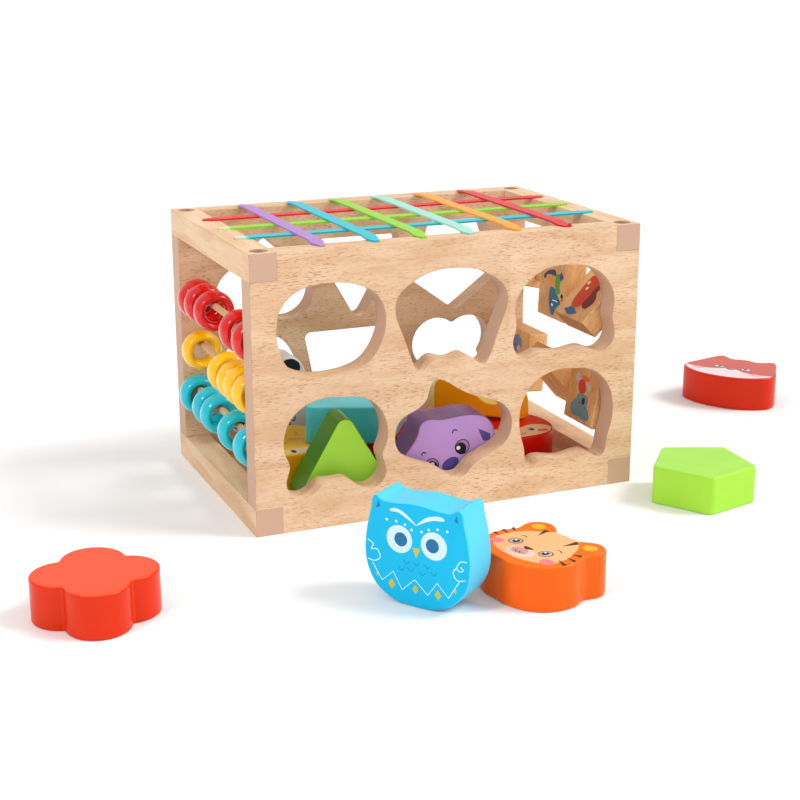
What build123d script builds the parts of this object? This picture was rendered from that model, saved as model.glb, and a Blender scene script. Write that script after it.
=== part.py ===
from build123d import *
import math
import os

# Shape sorter box with an abacus end, a flip-tile end, elastic bands over the
# open top and thirteen loose wooden blocks. Millimetres, +Z up, +X along the
# long side, -Y the front panel. Origin: centre of the box's underside.

# Box
BOX_LENGTH = 300.0
BOX_DEPTH = 200.0
BOX_HEIGHT = 200.0
PANEL = 18.0
RAIL = 19.5
FLOOR = 6.0
HALF_LENGTH = BOX_LENGTH / 2
HALF_DEPTH = BOX_DEPTH / 2
INNER_DEPTH = HALF_DEPTH - PANEL

# Corner screws, sunk in round recesses
SCREW_INSET = 10.0
RECESS_RADIUS = 6.4
RECESS_DEPTH = 5.0
HEAD_RADIUS = 4.5
HEAD_HEIGHT = 3.0
SHANK_RADIUS = 2.0
SHANK_LENGTH = 32.0
SCREW_GAP = 0.05

# Abacus end
ROD_RADIUS = 2.5
ROD_SINK = 8.0
ROD_GAP = 0.05
ABACUS_X = -140.0
ABACUS_ROWS = {"red": 139.0, "yellow": 100.0, "teal": 61.0}
BEAD_RADIUS = 15.5
BEAD_HOLE_RADIUS = 7.2
BEAD_LENGTH = 15.5
BEAD_HANG = 4.5
BEAD_PLACES = {
    "red": (67.4, 49.0, 23.1, -43.4, -73.0),
    "yellow": (61.2, -9.1, -33.1, -48.8, -69.4),
    "teal": (74.0, 37.6, 15.8, -30.3, -68.4),
}

# Flip-tile end
TILE_X = 140.0
TILE_ROWS = {"lower": 61.0, "upper": 134.0}
TILE_HEIGHT = 49.5
TILE_THICKNESS = 18.0
TILE_WIDTH = 44.0
TILE_ROUND = 1.2
TILE_HOLE_GAP = 0.08
TILE_CENTRES = {"front": -56.0, "middle": -3.0, "rear": 59.5}
TILE_TURNS = {
    "lower_front": 9.0,
    "lower_middle": 140.0,
    "lower_rear": 4.5,
    "upper_front": 46.0,
    "upper_middle": 3.0,
    "upper_rear": 103.0,
}

# Elastic bands
BAND_WIDTH = 9.4
BAND_END_WIDTH = 3.4
BAND_THICKNESS = 1.3
BAND_RISE = 1.4
BAND_TAPER = 8.0
BAND_PEG_RADIUS = 1.5
BAND_PEG_DEPTH = 6.0
BAND_PEG_GAP = 0.05
CROSS_BANDS = {"purple": -95.5, "teal": -55.5, "lime": -19.7, "mint": 16.8, "orange": 53.7, "red": 92.8}
LONG_BANDS = {"red": 37.8, "lime": -3.2, "teal": -43.0}
CROSS_BAND_END = 91.0
LONG_BAND_END = 140.0

# Blocks
BLOCK_THICKNESS = 29.0
BLOCK_ROUND = 1.5
BLOCK_FIT = 0.95
BLOCK_REST_GAP = 0.2
TRIANGLE_FIT = 0.965

# Right halves of the animal outlines, from the bottom centre to the top centre
FOX_HOLE = ((0, -36), (20, -33.3), (32, -27.5), (41, -19.5), (43.6, -11), (41.5, 0), (37, 11),
            (33.5, 21), (29.5, 31), (25, 36), (20.5, 34), (12, 28.6), (0, 31.2))
PANDA_HOLE = ((0, -33), (17, -31), (30, -24), (38, -14), (41, -3), (39.8, 10), (42.2, 20),
              (39, 30), (29.5, 34.7), (20, 31.5), (8, 32.5), (0, 33.3))
TIGER_HOLE = ((0, -35), (20, -32.5), (33, -23), (38.7, -8), (37.8, 3), (34.8, 11.5), (37.5, 23),
              (33.7, 32.2), (24.5, 36), (15.5, 32), (10.5, 28.4), (0, 28.2))
OWL_HOLE = ((0, -36), (16, -34.3), (30, -26), (38, -12), (39.5, -2), (38, 12), (35, 23),
            (31.5, 35), (28, 36.3), (24, 34), (12, 33.2), (0, 35))
OWL_BLOCK = ((0, -34.6), (15.5, -32.8), (28.5, -25.5), (36, -12.5), (37.5, -2), (36.5, 10), (34.5, 20),
             (32.5, 29), (31.2, 33.6), (29, 34.8), (25.8, 33), (20, 31.8), (10, 32.6), (0, 33.4))
# Whole outlines, anticlockwise or clockwise from the top
ROUND_HOLE = ((0, 33), (21, 29.5), (35, 20), (40, 3), (36, -13), (26, -26), (5, -32.5), (-19, -31),
              (-31, -24.5), (-38, -12), (-40, 4), (-37.5, 16), (-28, 27), (-12, 32.5))
ELEPHANT_HOLE = ((-6.3, 37.9), (1, 36.7), (7, 32.5), (23.5, 25.1), (36.5, 18), (44.2, 9.5), (45.8, 0),
                 (41, -11.4), (28.8, -17.7), (21.6, -24), (19.2, -31), (14.4, -38.2), (7, -36.4),
                 (-7.6, -27.2), (-25.6, -20), (-41.2, -12.5), (-47, -1), (-43, 14), (-28, 23.4),
                 (-13.6, 32.3))
EGG_HOLE = ((0, 37), (20, 31), (33, 17), (38, -2), (34, -20), (20, -33), (0, -37), (-20, -33),
            (-34, -20), (-38, -2), (-33, 17), (-20, 31))
CLOUD_BLOCK = ((-37, -17), (-38, -5), (-38, 7), (-36, 15.5), (-31, 18), (-25, 15.5), (-18, 9), (-11, 7),
               (-5, 3.5), (2, -2.5), (9, -5), (17, -3.5), (24, 2), (31, 5), (36, 2), (38, -6), (37, -17),
               (20, -18), (-20, -18))

FRONT_HOLES = {
    "round": (-92.0, 143.0),
    "fox": (-1.3, 143.0),
    "panda": (89.4, 141.0),
    "tiger": (-89.8, 60.0),
    "elephant": (0.4, 61.0),
    "owl": (93.1, 60.0),
}

# Back-panel holes and the plain blocks that fit them
HEART_LOBE = 22.5
HEART_SPREAD = 18.0
HEART_HEIGHT = 44.0
HEART_TIP = 4.0
HEART_CENTRE = (-81.0, 131.0)
TRIANGLE_SIDE = 84.0
TRIANGLE_ROUND = 7.0
TRIANGLE_TIP_Z = 98.4
TRIANGLE_X = -1.0
PENTAGON_RADIUS = 42.5
PENTAGON_ROUND = 4.5
PENTAGON_CENTRE = (86.0, 144.3)
EGG_CENTRE = (-88.0, 61.0)
TRAPEZOID_TOP = 86.0
TRAPEZOID_BOTTOM = 59.0
TRAPEZOID_HEIGHT = 68.0
TRAPEZOID_ROUND = 5.0
TRAPEZOID_CENTRE = (-6.0, 61.2)
FLOWER_OFFSET = 19.3
FLOWER_LOBE = 20.4
FLOWER_ROUND = 3.0
FLOWER_GROWTH = 1.06
FLOWER_CENTRE = (82.6, 60.7)


def mirrored(half):
    """The whole outline of a shape that is the same on both sides of its upright axis."""
    other = [(-x, y) for x, y in reversed(half[1:-1])]
    return list(half) + other


def curved_face(points, scale=1.0):
    """A face inside one smooth closed curve through the points."""
    return make_face(Spline(*[(x * scale, y * scale) for x, y in points], periodic=True))


def tapered_link(centre_a, radius_a, centre_b, radius_b):
    """Two circles joined by their common outer tangents."""
    along = Vector(*centre_b) - Vector(*centre_a)
    lean = math.acos((radius_a - radius_b) / along.length)
    heading = math.atan2(along.Y, along.X)
    corners = []
    for side, centre, radius in ((-1, centre_a, radius_a), (-1, centre_b, radius_b),
                                 (1, centre_b, radius_b), (1, centre_a, radius_a)):
        angle = heading + side * lean
        corners.append((centre[0] + radius * math.cos(angle), centre[1] + radius * math.sin(angle)))
    return (Polygon(*corners, align=None) + Pos(*centre_a) * Circle(radius_a)
            + Pos(*centre_b) * Circle(radius_b))


def heart_face(scale=1.0):
    """A heart with its lobes down and its point up."""
    tip = (0, HEART_HEIGHT * scale - HEART_TIP * scale)
    sides = [tapered_link((side * HEART_SPREAD * scale, 0), HEART_LOBE * scale, tip, HEART_TIP * scale)
             for side in (-1, 1)]
    return sides[0] + sides[1]


def triangle_face(side):
    """An equal-sided triangle, point up, about its own centre."""
    radius = side / math.sqrt(3)
    corners = [(radius * math.cos(math.radians(90 + 120 * i)), radius * math.sin(math.radians(90 + 120 * i)))
               for i in range(3)]
    face = Polygon(*corners, align=None)
    return fillet(face.vertices(), TRIANGLE_ROUND)


def pentagon_face(radius):
    """A regular pentagon with one corner along +X."""
    corners = [(radius * math.cos(math.radians(72 * i)), radius * math.sin(math.radians(72 * i)))
               for i in range(5)]
    face = Polygon(*corners, align=None)
    return fillet(face.vertices(), PENTAGON_ROUND)


def trapezoid_face(scale=1.0):
    """A trapezoid with its wide side up."""
    top = TRAPEZOID_TOP * scale / 2
    bottom = TRAPEZOID_BOTTOM * scale / 2
    half_height = TRAPEZOID_HEIGHT * scale / 2
    face = Polygon((-bottom, -half_height), (bottom, -half_height), (top, half_height), (-top, half_height),
                   align=None)
    return fillet(face.vertices(), TRAPEZOID_ROUND)


def flower_face(scale=1.0):
    """Four round lobes on the two axes."""
    offset = FLOWER_OFFSET * scale
    face = Rectangle(offset * 2, offset * 2)
    for turn in range(4):
        face = face + Rot(0, 0, 90 * turn) * Pos(offset, 0) * Circle(FLOWER_LOBE * scale)
    face = make_face(face.faces()[0].outer_wire())
    return fillet(face.vertices(), FLOWER_ROUND)


def panel_plane(y):
    """A plane facing the front, with its axes along the box's length and height."""
    return Plane(origin=(0, y, 0), x_dir=(1, 0, 0), z_dir=(0, -1, 0))


def cut_through(face, x, z, y):
    """The prism that cuts one shaped hole through the panel whose front is at y."""
    return panel_plane(y + PANEL / 2) * Pos(x, z) * extrude(face, PANEL / 2 + 1, both=True)


def rod_bores():
    """Blind bores for the five rods, in both panels."""
    length = 2 * (INNER_DEPTH + ROD_SINK + 0.5)
    places = [(ABACUS_X, z) for z in ABACUS_ROWS.values()] + [(TILE_X, z) for z in TILE_ROWS.values()]
    return [Pos(x, 0, z) * Rot(90, 0, 0) * Cylinder(ROD_RADIUS + ROD_GAP, length) for x, z in places]


def screw_places():
    """Corner positions and the up or down direction of each screw's head."""
    return [(sx * (HALF_LENGTH - SCREW_INSET), sy * (HALF_DEPTH - SCREW_INSET), up)
            for up in (-1, 1) for sx in (-1, 1) for sy in (-1, 1)]


def screw_bores():
    """The recess and the shank hole of every corner screw."""
    bores = []
    for x, y, up in screw_places():
        face_z = BOX_HEIGHT if up > 0 else 0
        bores.append(Pos(x, y, face_z - up * RECESS_DEPTH / 2) * Cylinder(RECESS_RADIUS, RECESS_DEPTH + 0.001))
        depth = RECESS_DEPTH + SHANK_LENGTH + 1
        bores.append(Pos(x, y, face_z - up * depth / 2) * Cylinder(SHANK_RADIUS + SCREW_GAP, depth))
    return bores


def band_peg_bores():
    """The small holes that hold the band ends."""
    ends = [(x, side * CROSS_BAND_END) for x in CROSS_BANDS.values() for side in (-1, 1)]
    ends += [(side * LONG_BAND_END, y) for y in LONG_BANDS.values() for side in (-1, 1)]
    depth = BAND_PEG_DEPTH + 0.5
    return [Pos(x, y, BOX_HEIGHT - depth / 2) * Cylinder(BAND_PEG_RADIUS + BAND_PEG_GAP, depth + 0.001)
            for x, y in ends]


def panel_blank(front_y):
    """One long panel with its four corners notched for the rails."""
    solid = Pos(0, front_y + PANEL / 2, BOX_HEIGHT / 2) * Box(BOX_LENGTH, PANEL, BOX_HEIGHT)
    for sx in (-1, 1):
        for z in (RAIL / 2, BOX_HEIGHT - RAIL / 2):
            x = sx * (HALF_LENGTH - RAIL / 2)
            solid = solid - Pos(x, front_y + PANEL / 2, z) * Box(RAIL, PANEL + 1, RAIL)
    return solid


def drilled(solid, bores):
    """The solid less every bore that reaches it."""
    for bore in bores:
        solid = solid - bore
    return solid


def front_panel():
    """The front panel with six animal-shaped holes, all upside down but the plain round one."""
    solid = panel_blank(-HALF_DEPTH)
    outlines = {
        "round": curved_face(ROUND_HOLE),
        "fox": Rot(0, 0, 180) * curved_face(mirrored(FOX_HOLE)),
        "panda": Rot(0, 0, 180) * curved_face(mirrored(PANDA_HOLE)),
        "tiger": Rot(0, 0, 180) * curved_face(mirrored(TIGER_HOLE)),
        "elephant": Rot(0, 0, 180) * curved_face(ELEPHANT_HOLE),
        "owl": Rot(0, 0, 180) * curved_face(mirrored(OWL_HOLE)),
    }
    for name, (x, z) in FRONT_HOLES.items():
        solid = solid - cut_through(outlines[name], x, z, -HALF_DEPTH)
    return drilled(solid, rod_bores() + screw_bores() + band_peg_bores())


def rear_panel():
    """The back panel with six plain geometric holes."""
    solid = panel_blank(INNER_DEPTH)
    triangle_z = TRIANGLE_TIP_Z + TRIANGLE_SIDE / math.sqrt(3)
    holes = (
        (heart_face(), *HEART_CENTRE),
        (Rot(0, 0, 180) * triangle_face(TRIANGLE_SIDE), TRIANGLE_X, triangle_z),
        (Rot(0, 0, -90) * pentagon_face(PENTAGON_RADIUS), *PENTAGON_CENTRE),
        (curved_face(EGG_HOLE), *EGG_CENTRE),
        (trapezoid_face(), *TRAPEZOID_CENTRE),
        (Rot(0, 0, 45) * flower_face(FLOWER_GROWTH), *FLOWER_CENTRE),
    )
    for face, x, z in holes:
        solid = solid - cut_through(face, x, z, INNER_DEPTH)
    return drilled(solid, rod_bores() + screw_bores() + band_peg_bores())


def rails():
    """Four square rails that run from front to back at the box's long edges."""
    made = {}
    for side, sx in (("left", -1), ("right", 1)):
        for level, z in (("bottom", RAIL / 2), ("top", BOX_HEIGHT - RAIL / 2)):
            solid = Pos(sx * (HALF_LENGTH - RAIL / 2), 0, z) * Box(RAIL, BOX_DEPTH, RAIL)
            made[f"{side}_{level}_rail"] = drilled(solid, screw_bores() + band_peg_bores())
    return made


def floor_panel():
    """The thin floor between the panels and the bottom rails."""
    return Pos(0, 0, FLOOR / 2) * Box(BOX_LENGTH - 2 * RAIL, 2 * INNER_DEPTH, FLOOR)


def rod(x, z):
    """A dowel held blind in both panels."""
    return Pos(x, 0, z) * Rot(90, 0, 0) * Cylinder(ROD_RADIUS, 2 * (INNER_DEPTH + ROD_SINK))


def bead(y, z):
    """A fat ring whose wall bulges outwards and rolls into the hole."""
    wall = BEAD_RADIUS - BEAD_HOLE_RADIUS
    middle = BEAD_HOLE_RADIUS + wall / 2
    with BuildSketch(Plane.XZ) as section:
        with Locations((middle, 0)):
            Ellipse(wall / 2, BEAD_LENGTH / 2)
    ring = revolve(section.sketch, axis=Axis.Z)
    return Pos(ABACUS_X, y, z - BEAD_HANG) * Rot(90, 0, 0) * ring


def beads():
    """Five beads on each of the three rods, numbered from the back."""
    made = {}
    for colour, z in ABACUS_ROWS.items():
        for number, y in enumerate(BEAD_PLACES[colour], start=1):
            made[f"{colour}_bead_{number}"] = bead(y, z)
    return made


def tile(y, z, turn):
    """One flip tile, bored through its middle and turned on its rod."""
    block = Box(TILE_THICKNESS, TILE_WIDTH, TILE_HEIGHT)
    block = fillet(block.edges(), TILE_ROUND)
    block = block - Rot(90, 0, 0) * Cylinder(ROD_RADIUS + TILE_HOLE_GAP, TILE_WIDTH + 1)
    return Pos(TILE_X, y, z) * Rot(0, turn, 0) * block


def tiles():
    """Three tiles on each of the two rods."""
    made = {}
    for level, z in TILE_ROWS.items():
        for place, y in TILE_CENTRES.items():
            made[f"{level}_{place}_tile"] = tile(y, z, TILE_TURNS[f"{level}_{place}"])
    return made


def band_strip(reach, rise):
    """A flat elastic strip along X with pointed, pegged ends."""
    half = reach + BAND_END_WIDTH / 2
    wide = reach - BAND_TAPER
    plan = Polygon((-half, -BAND_END_WIDTH / 2), (-wide, -BAND_WIDTH / 2), (wide, -BAND_WIDTH / 2),
                   (half, -BAND_END_WIDTH / 2), (half, BAND_END_WIDTH / 2), (wide, BAND_WIDTH / 2),
                   (-wide, BAND_WIDTH / 2), (-half, BAND_END_WIDTH / 2), align=None)
    strip = extrude(plan, rise + BAND_THICKNESS)
    if rise > 0:
        low = reach - BAND_TAPER / 2
        high = reach - 2 * BAND_TAPER
        side = Polygon((-half, 0), (-low, 0), (-high, rise), (high, rise), (low, 0), (half, 0),
                       (half, BAND_THICKNESS), (low, BAND_THICKNESS), (high, rise + BAND_THICKNESS),
                       (-high, rise + BAND_THICKNESS), (-low, BAND_THICKNESS), (-half, BAND_THICKNESS),
                       align=None)
        strip = strip & extrude(Plane.XZ * side, BAND_WIDTH, both=True)
    for sign in (-1, 1):
        strip = strip + Pos(sign * reach, 0, -BAND_PEG_DEPTH / 2) * Cylinder(BAND_PEG_RADIUS, BAND_PEG_DEPTH)
    return strip


def bands():
    """Six bands across the top and three that run lengthwise beneath them."""
    made = {}
    for colour, x in CROSS_BANDS.items():
        strip = band_strip(CROSS_BAND_END, BAND_RISE)
        made[f"{colour}_cross_band"] = Pos(x, 0, BOX_HEIGHT) * Rot(0, 0, 90) * strip
    for colour, y in LONG_BANDS.items():
        made[f"{colour}_long_band"] = Pos(0, y, BOX_HEIGHT) * band_strip(LONG_BAND_END, 0)
    return made


def screws():
    """Eight corner screws, each a round head on a plain shank, as one group."""
    solids = []
    for x, y, up in screw_places():
        floor_z = (BOX_HEIGHT if up > 0 else 0) - up * RECESS_DEPTH
        head = Pos(x, y, floor_z + up * HEAD_HEIGHT / 2) * Cylinder(HEAD_RADIUS, HEAD_HEIGHT)
        shank = Pos(x, y, floor_z - up * SHANK_LENGTH / 2) * Cylinder(SHANK_RADIUS, SHANK_LENGTH)
        solids.append(head + shank)
    return Compound(children=solids)


def block(face, centre, right, normal, thickness=BLOCK_THICKNESS):
    """A loose block with softly rounded edges. Right and normal are its face's own directions."""
    solid = extrude(face, thickness / 2, both=True)
    rims = solid.faces().sort_by(Axis.Z)
    rims = rims[0].edges() + rims[-1].edges()
    solid = fillet(rims, BLOCK_ROUND)
    return Plane(origin=centre, x_dir=right, z_dir=normal) * solid


def heading(degrees):
    """A level direction at this angle from +X."""
    return (math.cos(math.radians(degrees)), math.sin(math.radians(degrees)), 0)


def tipped(degrees, lean):
    """A direction at this angle from +X that also climbs at the lean angle."""
    level = math.cos(math.radians(lean))
    along = heading(degrees)
    return (along[0] * level, along[1] * level, math.sin(math.radians(lean)))


def outside_blocks():
    """The five blocks that lie around the box."""
    up = (0, 0, 1)
    return {
        "flower_block": block(flower_face(), (-279.8, -183.4, 14.6), heading(-8.2), up, 29.2),
        "pentagon_block": block(pentagon_face(40.5), (180.0, -151.0, 14.3), heading(32), up, 28.6),
        "tiger_block": block(curved_face(mirrored(TIGER_HOLE), 0.93), (-12.3, -255.4, 14.9),
                             heading(-75.5), up, 29.8),
        "fox_block": block(curved_face(mirrored(FOX_HOLE), 0.975), (353.5, 58.5, 14.6), heading(-57), up, 29.2),
        "owl_block": block(curved_face(mirrored(OWL_BLOCK)), (-83.7, -243.6, 34.72), heading(-53.6),
                           heading(216.4), 28.6),
    }


def inside_blocks():
    """The eight blocks that lie in the box."""
    up = (0, 0, 1)
    floor = FLOOR + BLOCK_REST_GAP
    middle = floor + BLOCK_THICKNESS / 2
    stacked = floor + BLOCK_THICKNESS + BLOCK_REST_GAP
    triangle = triangle_face(TRIANGLE_SIDE * TRIANGLE_FIT)
    triangle_z = floor + TRIANGLE_SIDE * TRIANGLE_FIT / math.sqrt(12)
    return {
        "triangle_block": block(triangle, (-72.0, -59.0, triangle_z), heading(-4), heading(-94)),
        "elephant_block": block(curved_face(ELEPHANT_HOLE, 0.88), (7.5, -64.0, 33.6),
                                tipped(-4, 28), heading(-94)),
        "giraffe_block": block(curved_face(ROUND_HOLE, BLOCK_FIT), (-90.0, -1.0, middle), heading(90), up),
        "heart_block": block(heart_face(BLOCK_FIT), (-19.0, -12.0, middle), heading(0), up),
        "trapezoid_block": block(trapezoid_face(BLOCK_FIT), (-35.6, -1.9, stacked + BLOCK_THICKNESS / 2),
                                 heading(56.3), up),
        "panda_block": block(curved_face(mirrored(PANDA_HOLE), 0.9), (-80.0, 66.0, 41.6),
                             tipped(0, 40), heading(-90)),
        "monkey_block": block(curved_face(EGG_HOLE, BLOCK_FIT), (76.5, -32.0, middle), heading(0), up),
        "cloud_block": block(curved_face(CLOUD_BLOCK), (65.5, -5.5, stacked + 19.6), heading(-14),
                             heading(-104)),
    }


def build():
    """Every node by name."""
    made = {"front_panel": front_panel(), "rear_panel": rear_panel(), "floor_panel": floor_panel()}
    made.update(rails())
    for colour, z in ABACUS_ROWS.items():
        made[f"{colour}_abacus_rod"] = rod(ABACUS_X, z)
    for level, z in TILE_ROWS.items():
        made[f"{level}_tile_rod"] = rod(TILE_X, z)
    made.update(beads())
    made.update(tiles())
    made.update(bands())
    made["corner_screws"] = screws()
    made.update(outside_blocks())
    made.update(inside_blocks())
    return made


os.makedirs("parts", exist_ok=True)
for name, solid in build().items():
    export_step(solid, f"parts/{name}.step")
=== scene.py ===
"""Looks of the shape sorter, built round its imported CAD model, in metres."""

import math
import random

import bmesh
import bpy
from mathutils import Matrix, Quaternion, Vector


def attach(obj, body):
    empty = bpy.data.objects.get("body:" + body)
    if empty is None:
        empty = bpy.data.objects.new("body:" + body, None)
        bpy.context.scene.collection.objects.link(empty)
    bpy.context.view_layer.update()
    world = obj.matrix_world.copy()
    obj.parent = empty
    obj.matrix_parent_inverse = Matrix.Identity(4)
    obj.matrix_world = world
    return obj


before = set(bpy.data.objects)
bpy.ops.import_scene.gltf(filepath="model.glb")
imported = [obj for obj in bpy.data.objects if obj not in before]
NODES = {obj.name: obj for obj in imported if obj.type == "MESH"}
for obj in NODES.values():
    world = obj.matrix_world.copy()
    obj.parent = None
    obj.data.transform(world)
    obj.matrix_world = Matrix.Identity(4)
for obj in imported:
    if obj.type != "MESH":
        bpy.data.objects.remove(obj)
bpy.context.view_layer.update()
MM = 0.001
FULL_TONE = (1.0, 1.0, 1.0, 1.0)
random.seed(11)


# ---------------------------------------------------------------- node helpers
def srgb(red, green, blue):
    """A colour as seen on screen, 0 to 255 a channel, in the renderer's linear values."""
    def linear(value):
        value = value / 255
        return value / 12.92 if value <= 0.04045 else ((value + 0.055) / 1.055) ** 2.4
    return (linear(red), linear(green), linear(blue), 1.0)


def shaded(colour, factor):
    """The same colour, lighter or darker."""
    return tuple(min(1.0, channel * factor) for channel in colour[:3]) + (1.0,)


def shader(name):
    """A new material with one principled shader."""
    material = bpy.data.materials.new(name)
    material.use_nodes = True
    tree = material.node_tree
    tree.nodes.clear()
    output = tree.nodes.new("ShaderNodeOutputMaterial")
    surface = tree.nodes.new("ShaderNodeBsdfPrincipled")
    tree.links.new(surface.outputs["BSDF"], output.inputs["Surface"])
    return material, tree, surface


def node(tree, kind, inputs=None, **settings):
    """One shader node with its settings, and its inputs as values or other nodes' outputs."""
    made = tree.nodes.new("ShaderNode" + kind)
    for key, value in settings.items():
        setattr(made, key, value)
    for key, value in (inputs or {}).items():
        if isinstance(value, bpy.types.NodeSocket):
            tree.links.new(value, made.inputs[key])
        else:
            made.inputs[key].default_value = value
    return made


def maths(tree, operation, a, b=0.0):
    """One sum on two numbers or sockets."""
    return node(tree, "Math", {0: a, 1: b}, operation=operation).outputs[0]


def vector_maths(tree, operation, a, b):
    """One sum on two vectors or sockets; a dot product gives a number."""
    made = node(tree, "VectorMath", {0: a, 1: b}, operation=operation)
    return made.outputs["Value" if operation == "DOT_PRODUCT" else "Vector"]


def mix(tree, factor, a, b, blend="MIX"):
    """Colour a turned into colour b by the factor."""
    made = node(tree, "Mix", data_type="RGBA", blend_type=blend)
    for index, value in ((0, factor), (6, a), (7, b)):
        if isinstance(value, bpy.types.NodeSocket):
            tree.links.new(value, made.inputs[index])
        else:
            made.inputs[index].default_value = value
    return made.outputs[2]


def ramp(tree, value, low, high, start=0.0, end=1.0):
    """A smooth step from start to end as the value goes from low to high."""
    made = node(tree, "MapRange", {"Value": value, "From Min": low, "From Max": high,
                                   "To Min": start, "To Max": end}, interpolation_type="SMOOTHSTEP")
    return made.outputs["Result"]


def noise(tree, vector, scale=1.0, detail=2.0, roughness=0.5, distortion=0.0):
    """Cloudy noise, about 0 to 1."""
    made = node(tree, "TexNoise", {"Vector": vector, "Scale": scale, "Detail": detail,
                                   "Roughness": roughness, "Distortion": distortion})
    return made.outputs["Fac"]


def bump(tree, height, strength, distance, base=None):
    """Normals tilted by a height, on top of the base normals where they are given."""
    made = node(tree, "Bump", {"Height": height, "Strength": strength, "Distance": distance})
    if base:
        tree.links.new(base, made.inputs["Normal"])
    return made.outputs["Normal"]


def soft_edges(tree, radius):
    """Normals that turn over the sharp edges as a worn edge does."""
    return node(tree, "Bevel", {"Radius": radius}, samples=6).outputs["Normal"]


# ---------------------------------------------------------------- materials
# How the material turns so that the grain runs along the node's x, y or z.
GRAIN_TURNS = {"x": (0.0, 0.0, 0.0), "y": (0.0, 0.0, -math.pi / 2), "z": (0.0, math.pi / 2, 0.0)}
# Each mark in the wood: its length along the grain and its width across it.
BROAD_SIZE = (70 * MM, 14 * MM)
STREAK_SIZE = (45 * MM, 1.6 * MM)
FLECK_SIZE = (4.4 * MM, 0.62 * MM)
PORE_SIZE = (2.2 * MM, 0.3 * MM)
PATCH_SIZE = (60 * MM, 25 * MM)
RING_SPACING = 1.15 * MM
WOOD_EDGE = 1.0 * MM
WOOD_RELIEF = 0.15 * MM
# The wave texture repeats this often at scale 1, in metres.
WAVE_PERIOD = 0.314
STAVE_SHIFT = 0.37
DARK_STAVE = (0.93, 0.90, 0.87, 1.0)
MOTTLE_SCALE = 45.0
DARK_MOTTLE = (0.95, 0.95, 0.95, 1.0)
PAINT_EDGE = 0.9 * MM
SCREEN_SCALE = 1400.0
RIB_SPACING = 0.9 * MM
FUZZ_SCALE = 900.0
BAND_RELIEF = 0.2 * MM
TURNING_SCALE = 500.0
# How strongly each finish reflects, apart from its coat.
WOOD_SPECULAR = 0.25
PAINT_SPECULAR = 0.12
INK_SPECULAR = 0.22
PAINT_COAT_ROUGHNESS = 0.08
INK_COAT = 0.1
INK_COAT_ROUGHNESS = 0.2
PALE_BLUR = 2 * MM
BARE_ELASTIC = srgb(238, 232, 204)


def wood(name, pale, dark, fleck, end_colour, grain="x", centre=(0, 0, 0), turn=0.0, boards=None,
         fleck_amount=0.62, seed=0.0):
    """Bare wood: streaks and short flecks along the grain, and rings on the ends of the fibres."""
    material, tree, surface = shader(name)
    coords = node(tree, "TexCoord")
    spin = list(GRAIN_TURNS[grain])
    spin[1] -= math.radians(turn)
    local = vector_maths(tree, "SUBTRACT", coords.outputs["Object"], centre)
    along = node(tree, "Mapping", {"Vector": local, "Rotation": spin}).outputs["Vector"]
    normal = node(tree, "Mapping", {"Vector": coords.outputs["Normal"], "Rotation": spin}).outputs["Vector"]
    shifted = vector_maths(tree, "ADD", along, (seed, seed * 0.7, seed * 1.3))

    def stretched(size):
        length, width = size
        return vector_maths(tree, "MULTIPLY", shifted, (1 / length, 1 / width, 1 / width))

    broad = noise(tree, stretched(BROAD_SIZE), detail=3.0, distortion=0.6)
    streak = noise(tree, stretched(STREAK_SIZE), detail=4.0, roughness=0.6)
    dash = noise(tree, stretched(FLECK_SIZE), detail=1.5, roughness=0.45)
    pore = noise(tree, stretched(PORE_SIZE), detail=1.0)
    colour = mix(tree, ramp(tree, broad, 0.35, 0.68), pale, dark)
    colour = mix(tree, ramp(tree, streak, 0.5, 0.75, 0.0, 0.35), colour, shaded(dark, 0.86))
    dash_mask = ramp(tree, dash, 0.56, 0.66)
    patchy = ramp(tree, noise(tree, stretched(PATCH_SIZE), detail=1.0), 0.36, 0.62, 0.45, 1.0)
    fleck_mask = maths(tree, "MULTIPLY", maths(tree, "MULTIPLY", dash_mask, patchy), fleck_amount)
    colour = mix(tree, fleck_mask, colour, fleck)
    colour = mix(tree, ramp(tree, pore, 0.62, 0.8, 0.0, 0.22), colour, shaded(fleck, 1.1))
    if boards:
        colour = mix(tree, 1.0, colour, board_tone(tree, along, boards), blend="MULTIPLY")
    facing = node(tree, "SeparateXYZ", {"Vector": normal}).outputs["X"]
    end_mask = ramp(tree, maths(tree, "ABSOLUTE", facing), 0.45, 0.95)
    rings = node(tree, "TexWave", {"Vector": vector_maths(tree, "MULTIPLY", shifted, (0, 1, 1)),
                                   "Scale": WAVE_PERIOD / RING_SPACING, "Distortion": 3.0, "Detail": 2.0,
                                   "Detail Scale": 0.35}, wave_type="BANDS", bands_direction="DIAGONAL")
    ring_colour = mix(tree, ramp(tree, rings.outputs["Fac"], 0.1, 0.75), shaded(end_colour, 0.84), end_colour)
    colour = mix(tree, end_mask, colour, ring_colour)
    tree.links.new(colour, surface.inputs["Base Color"])
    rough = ramp(tree, streak, 0.3, 0.8, 0.5, 0.66)
    tree.links.new(rough, surface.inputs["Roughness"])
    relief = maths(tree, "SUBTRACT", maths(tree, "MULTIPLY", streak, 0.4),
                   maths(tree, "MULTIPLY", dash_mask, 0.5))
    worn_edges = soft_edges(tree, WOOD_EDGE)
    tree.links.new(bump(tree, relief, 0.25, WOOD_RELIEF, worn_edges), surface.inputs["Normal"])
    surface.inputs["Specular IOR Level"].default_value = WOOD_SPECULAR
    return material


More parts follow.
